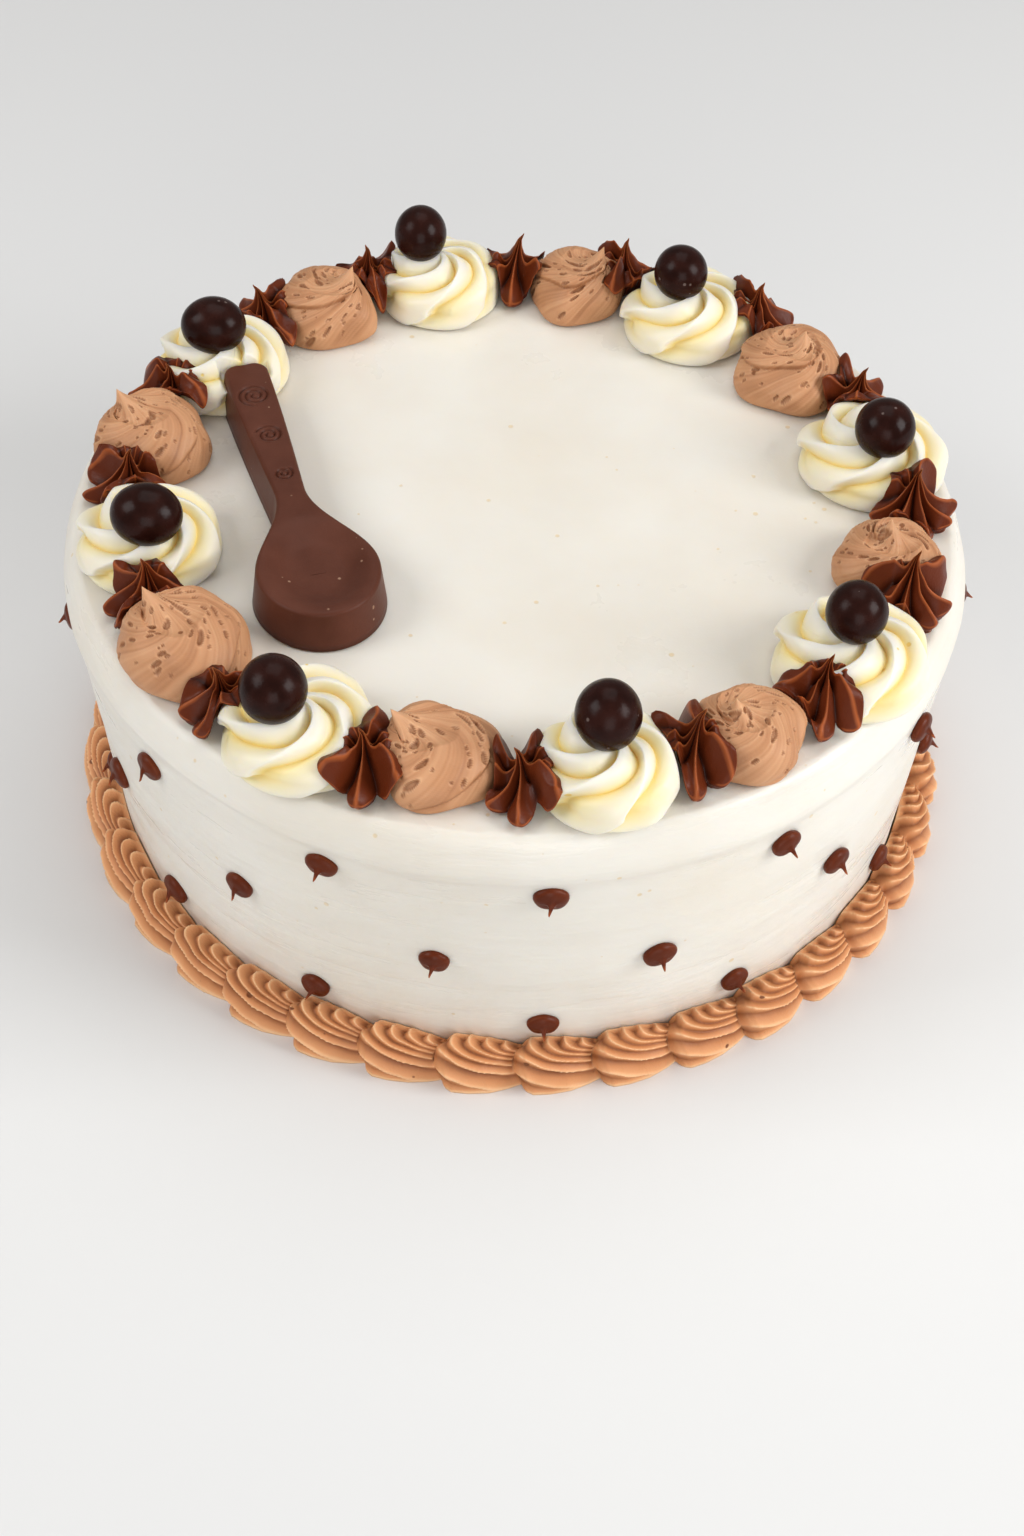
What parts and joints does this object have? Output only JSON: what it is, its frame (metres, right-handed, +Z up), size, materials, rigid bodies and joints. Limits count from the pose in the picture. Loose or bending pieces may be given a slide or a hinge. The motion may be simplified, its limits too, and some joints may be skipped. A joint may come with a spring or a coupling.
{
  "type": "layer cake",
  "caption": "Round iced layer cake with a piped ring of rosettes, dollops and fudge stars, coated chocolate balls, a chocolate spoon, wall drops and a piped shell border at the foot.",
  "frame": {"origin": "on the cake's axis, in the plane it stands on", "axes": "+Z up along the cake's axis, -Y towards the front of the cake, +X to its right seen from the front"},
  "size_m": [0.2221, 0.2219, 0.1109],
  "materials": {
    "vanilla_icing": "smooth vanilla icing, satin, with faint marks of the palette knife",
    "border_cream": "piped mocha cream, matt, slightly grainy",
    "buttercream": "piped buttercream, satin, translucent and deeper yellow in its creases",
    "mocha_cream": "airy mocha cream, matt, with small pits",
    "fudge": "dark fudge, satin gloss",
    "dark_coating": "near black chocolate coating, polished",
    "milk_chocolate": "moulded milk chocolate, satin, with tiny pale specks"
  },
  "bodies": {
    "root": {"cake_body": "vanilla_icing", "shell_border": "border_cream", "rosette_1": "buttercream", "rosette_2": "buttercream", "rosette_3": "buttercream", "rosette_4": "buttercream", "rosette_5": "buttercream", "rosette_6": "buttercream", "rosette_7": "buttercream", "rosette_8": "buttercream", "dollop_1": "mocha_cream", "dollop_2": "mocha_cream", "dollop_3": "mocha_cream", "dollop_4": "mocha_cream", "dollop_5": "mocha_cream", "dollop_6": "mocha_cream", "dollop_7": "mocha_cream", "dollop_8": "mocha_cream", "fudge_star_1": "fudge", "fudge_star_2": "fudge", "fudge_star_3": "fudge", "fudge_star_4": "fudge", "fudge_star_5": "fudge", "fudge_star_6": "fudge", "fudge_star_7": "fudge", "fudge_star_8": "fudge", "fudge_star_9": "fudge", "fudge_star_10": "fudge", "fudge_star_11": "fudge", "fudge_star_12": "fudge", "fudge_star_13": "fudge", "fudge_star_14": "fudge", "fudge_star_15": "fudge", "fudge_star_16": "fudge", "chocolate_ball_1": "dark_coating", "chocolate_ball_2": "dark_coating", "chocolate_ball_3": "dark_coating", "chocolate_ball_4": "dark_coating", "chocolate_ball_5": "dark_coating", "chocolate_ball_6": "dark_coating", "chocolate_ball_7": "dark_coating", "chocolate_ball_8": "dark_coating", "chocolate_spoon": "milk_chocolate"}
  },
  "joints": []
}
